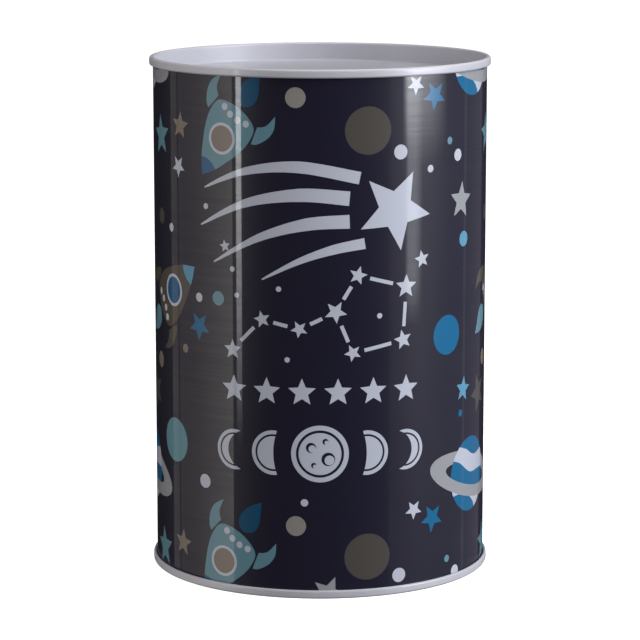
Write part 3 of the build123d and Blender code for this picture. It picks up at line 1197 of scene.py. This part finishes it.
class MONEYBOX_OT_stage(bpy.types.Operator):
    """Set the floor, the room, the camera and the lights"""

    bl_idname = "moneybox.stage"
    bl_label = "Stage"

    def execute(self, context):
        studio = context.scene.moneybox_studio
        self.add_floor(studio)
        self.add_room(context.scene, studio)
        self.add_camera(context.scene, studio)
        self.add_lights(studio)
        context.scene.view_settings.view_transform = "Standard"
        return {"FINISHED"}

    @staticmethod
    def add_floor(studio):
        """Plain pale floor that the varnish doesn't mirror."""
        mesh = bpy.data.meshes.new("floor")
        floor_radius = 7.0
        floor_glow = 0.92
        ring = [(x, y, 0.0) for x, y in circle((0, 0), floor_radius, 64)]
        mesh.from_pydata(ring, [], [list(range(len(ring)))])
        material, graph = new_finish("floor_paper")
        tooth = noise(graph, 90.0, detail=3.0)
        shader = graph.add("ShaderNodeBsdfPrincipled", inputs={
            "Base Color": opaque(studio.floor), "Roughness": 0.8 + 0.1 * tooth,
            "Specular IOR Level": 0.1, "Emission Color": opaque(studio.floor),
            "Emission Strength": floor_glow})
        under = graph.add("ShaderNodeNewGeometry").out("Backfacing")
        clear = graph.add("ShaderNodeBsdfTransparent")
        both = graph.add("ShaderNodeMixShader", inputs={
            0: under, 1: shader.out("BSDF"), 2: clear.out("BSDF")})
        graph.add("ShaderNodeOutputMaterial", inputs={"Surface": both.out("Shader")})
        mesh.materials.append(material)
        floor = new_object("floor", mesh)
        floor.visible_glossy = False
        floor.visible_diffuse = False
        floor.visible_shadow = False

    @staticmethod
    def add_room(scene, studio):
        """White to the eye, softer on matt surfaces and nearly dark in the varnish."""
        world = bpy.data.worlds.new("room")
        world.use_nodes = True
        world.node_tree.nodes.clear()
        graph = Graph(world.node_tree)
        path = graph.add("ShaderNodeLightPath")
        seen = path.out("Is Camera Ray")
        shine = path.out("Is Glossy Ray")
        shine_level = 0.012
        strength = seen + (1.0 - seen) * (studio.fill * (1.0 - shine) + shine_level * shine)
        air = graph.add("ShaderNodeBackground", inputs={
            "Color": (1.0, 1.0, 1.0, 1.0), "Strength": strength})
        graph.add("ShaderNodeOutputWorld", inputs={"Surface": air.out("Background")})
        scene.world = world

    @staticmethod
    def add_camera(scene, studio):
        """Camera in front of the tin and a little above it."""
        data = bpy.data.cameras.new("camera")
        data.lens = studio.lens
        data.sensor_width = 36
        data.clip_start = 0.05
        camera = bpy.data.objects.new("camera", data)
        camera.location = (0.0, -studio.camera_distance, studio.camera_height)
        camera.rotation_euler = (pi / 2 - studio.camera_drop, 0.0, 0.0)
        scene.collection.objects.link(camera)
        scene.camera = camera

    def add_lights(self, studio):
        """Tall boxes that show as upright bands in the varnish, and lights for matt surfaces."""
        warm = (1.0, 0.93, 0.86)
        cool = (0.93, 0.96, 1.0)
        violet = (0.88, 0.87, 1.0)
        self.add_box("strip_left", azimuth=-56, width=4, low=-0.21, high=0.60, glow=11.0, soft=0.23)
        self.add_box("box_left", azimuth=-86.8, width=51.5, low=-0.60, high=0.90, glow=1.7,
                     fall=1.0, dim=0.18, tint=warm)
        self.add_box("edge_left", azimuth=-118, width=8.5, low=-0.60, high=0.90, glow=0.40,
                     tint=warm)
        self.add_box("strip_right", azimuth=66, width=14, low=-0.125, high=0.70, glow=3.6,
                     rise=0.2, fall=0.45, soft=0.03, tint=cool)
        self.add_box("box_right", azimuth=76, width=38, low=-0.014, high=0.70, glow=10.5,
                     rise=0.10, fall=0.90, soft=0.06, tint=cool)
        self.add_box("wall_right", azimuth=98, width=100, low=-0.60, high=0.90, glow=0.20,
                     tint=violet)
        self.add_box("edge_right", azimuth=117, width=3, low=-0.50, high=0.60, glow=0.22)
        self.add_matt("key", azimuth=60, height=0.55, distance=0.60, size=0.4, level=studio.key)
        self.add_matt("overhead", azimuth=20, height=1.6, distance=0.2, size=1.4, level=0.38)

    @staticmethod
    def area_light(name, place, turned, width, depth, glow):
        """A rectangular light whose face has the brightness given."""
        data = bpy.data.lights.new(name, "AREA")
        data.shape = "RECTANGLE"
        data.size = width
        data.size_y = depth
        data.energy = glow * width * depth * pi
        light = bpy.data.objects.new(name, data)
        light.location = place
        light.rotation_euler = turned
        bpy.context.scene.collection.objects.link(light)
        return light

    def add_box(self, name, azimuth, width, low, high, glow, rise=0.0, fall=0.0, dim=0.0,
                soft=0.0, tint=(1.0, 1.0, 1.0)):
        """An upright soft box at an angle round the tin from the camera side, in degrees.

        Its brightness rises over a part of its width on the side near the camera, falls towards
        the dim level over a part on the far side, and fades out over a height at its lower edge.
        """
        distance = 1.2
        turn = radians(azimuth)
        place = (distance * sin(turn), -distance * cos(turn), (low + high) / 2)
        across = 2 * distance * tan(radians(width) / 2)
        light = self.area_light(name, place, (pi / 2, 0.0, turn), across, high - low, glow)
        light.data.color = tint
        light.data.use_nodes = True
        light.data.node_tree.nodes.clear()
        graph = Graph(light.data.node_tree)
        face = graph.add("ShaderNodeSeparateXYZ", inputs={
            "Vector": graph.add("ShaderNodeNewGeometry").out("Parametric")})
        near = face.out("X") if azimuth < 0 else 1.0 - face.out("X")
        strength = 1.0
        if fall:
            far_side = (near / fall).clamped()
            strength = dim + (1.0 - dim) * (far_side * far_side if dim else far_side)
        if rise:
            strength = strength * ((1.0 - near) / rise).clamped()
        if soft:
            strength = strength * (face.out("Y") * ((high - low) / soft)).clamped()
        lamp = graph.add("ShaderNodeEmission", inputs={"Strength": strength})
        graph.add("ShaderNodeOutputLight", inputs={"Surface": lamp.out("Emission")})

    def add_matt(self, name, azimuth, height, distance, size, level):
        """A square light for matt surfaces only, aimed at the tin from a height."""
        turn = radians(azimuth)
        place = Vector((distance * sin(turn), -distance * cos(turn), height))
        middle_of_tin = Vector((0.0, 0.0, 0.08))
        aim = middle_of_tin - place
        turned = aim.to_track_quat("-Z", "Y").to_euler()
        glow = level * aim.length_squared / size**2 * pi
        light = self.area_light(name, place, turned, size, size, glow)
        light.visible_glossy = False


class MONEYBOX_PT_panel(bpy.types.Panel):
    """Lists what can be made."""

    bl_idname = "MONEYBOX_PT_panel"
    bl_label = "Tin Money Box"
    bl_space_type = "VIEW_3D"
    bl_region_type = "UI"
    bl_category = "Money Box"

    def draw(self, context):
        layout = self.layout
        for group in ("moneybox_sizes", "moneybox_colours", "moneybox_studio"):
            values = getattr(context.scene, group)
            box = layout.box()
            for name in values.__annotations__:
                box.prop(values, name)
        for operator in OPERATORS:
            layout.operator(operator.bl_idname)


OPERATORS = (MONEYBOX_OT_body, MONEYBOX_OT_ends, MONEYBOX_OT_stopper, MONEYBOX_OT_stage)
GROUPS = {
    "moneybox_sizes": MoneyBoxSizes,
    "moneybox_colours": MoneyBoxColours,
    "moneybox_studio": MoneyBoxStudio,
}


def register():
    for group, kind in GROUPS.items():
        bpy.utils.register_class(kind)
        setattr(bpy.types.Scene, group, PointerProperty(type=kind))
    for operator in OPERATORS:
        bpy.utils.register_class(operator)
    bpy.utils.register_class(MONEYBOX_PT_panel)


def unregister():
    bpy.utils.unregister_class(MONEYBOX_PT_panel)
    for operator in reversed(OPERATORS):
        bpy.utils.unregister_class(operator)
    for group, kind in GROUPS.items():
        delattr(bpy.types.Scene, group)
        bpy.utils.unregister_class(kind)


def main():
    register()
    bpy.ops.moneybox.body()
    bpy.ops.moneybox.ends()
    bpy.ops.moneybox.stopper()
    bpy.ops.moneybox.stage()
    bpy.context.view_layer.update()


if __name__ == "__main__":
    main()
